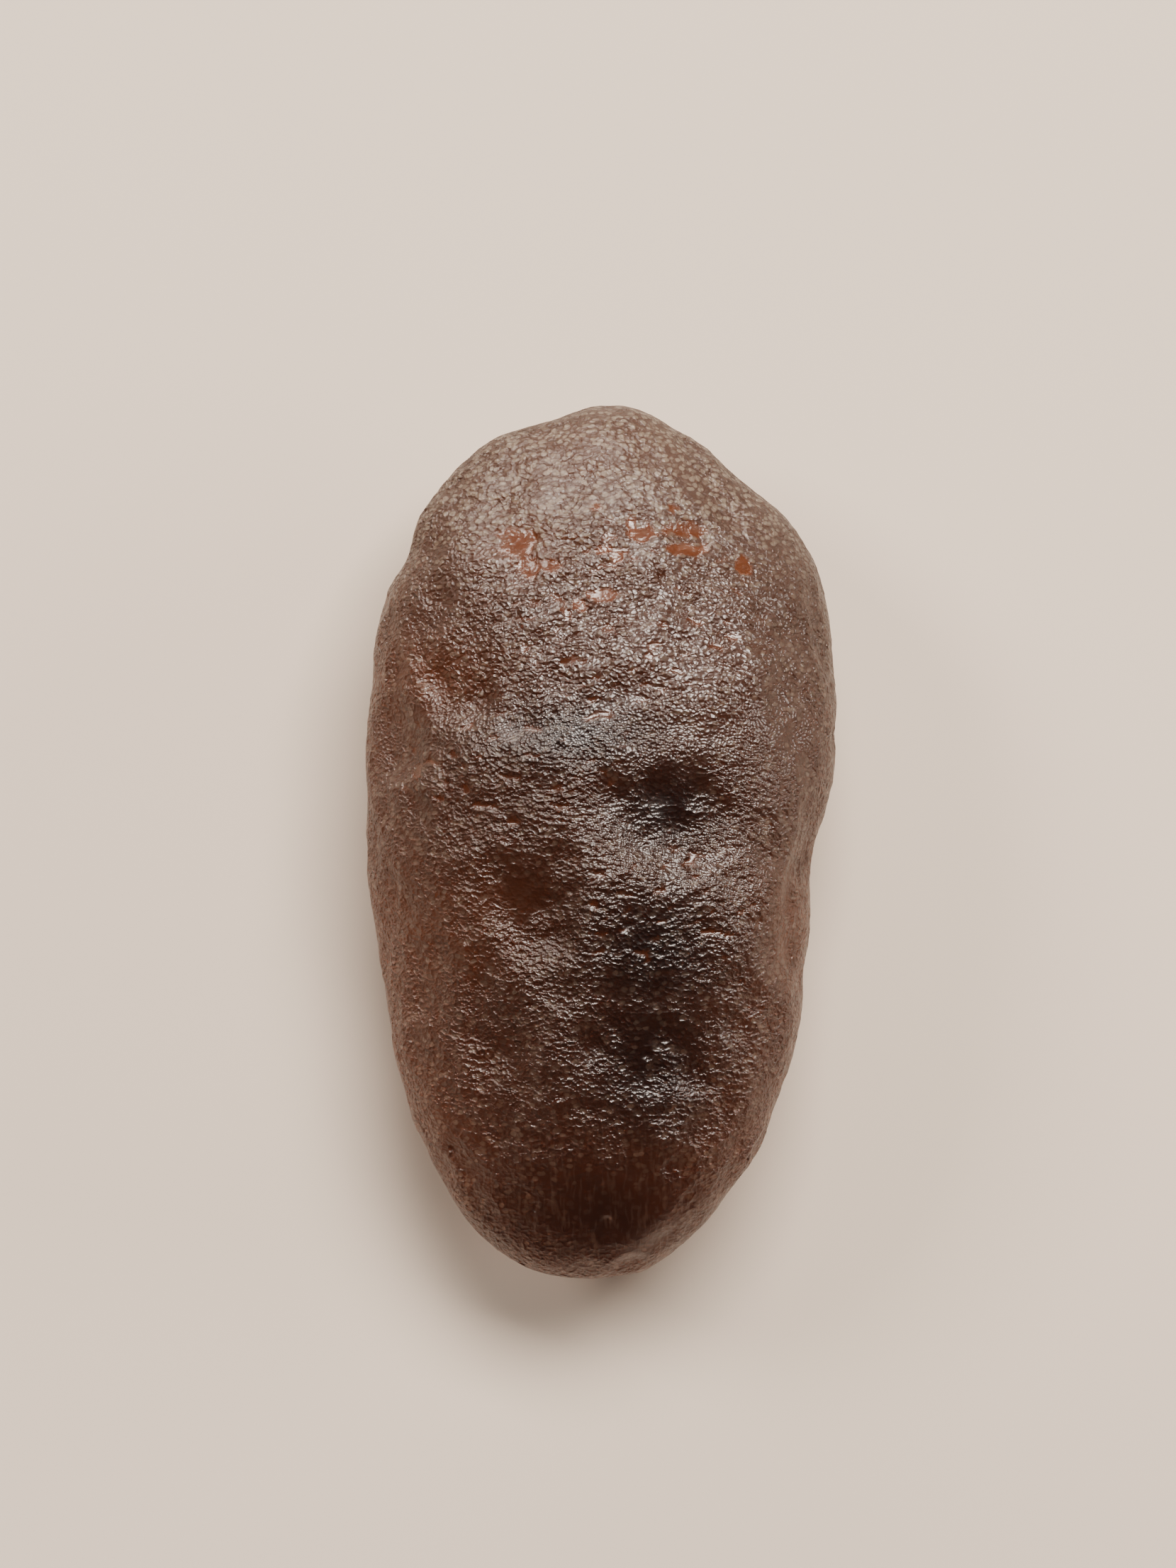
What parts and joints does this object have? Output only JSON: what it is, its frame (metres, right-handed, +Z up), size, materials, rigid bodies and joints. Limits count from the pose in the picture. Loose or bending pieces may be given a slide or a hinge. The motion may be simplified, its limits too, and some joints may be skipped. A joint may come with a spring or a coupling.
{
  "type": "colombianite",
  "caption": "Oval pebble of smoky brown natural glass with an etched, hollowed skin; rests on a small flat spot on its belly.",
  "frame": {"origin": "on the surface the pebble rests on, below the middle of its box", "axes": "+Z up, out of the more hollowed face; +Y along the pebble towards its blunt nose; +X across it"},
  "size_m": [0.0203, 0.0377, 0.015],
  "materials": {
    "etched_glass": "etched, satin"
  },
  "bodies": {
    "root": {"stone": "etched_glass"}
  },
  "joints": []
}
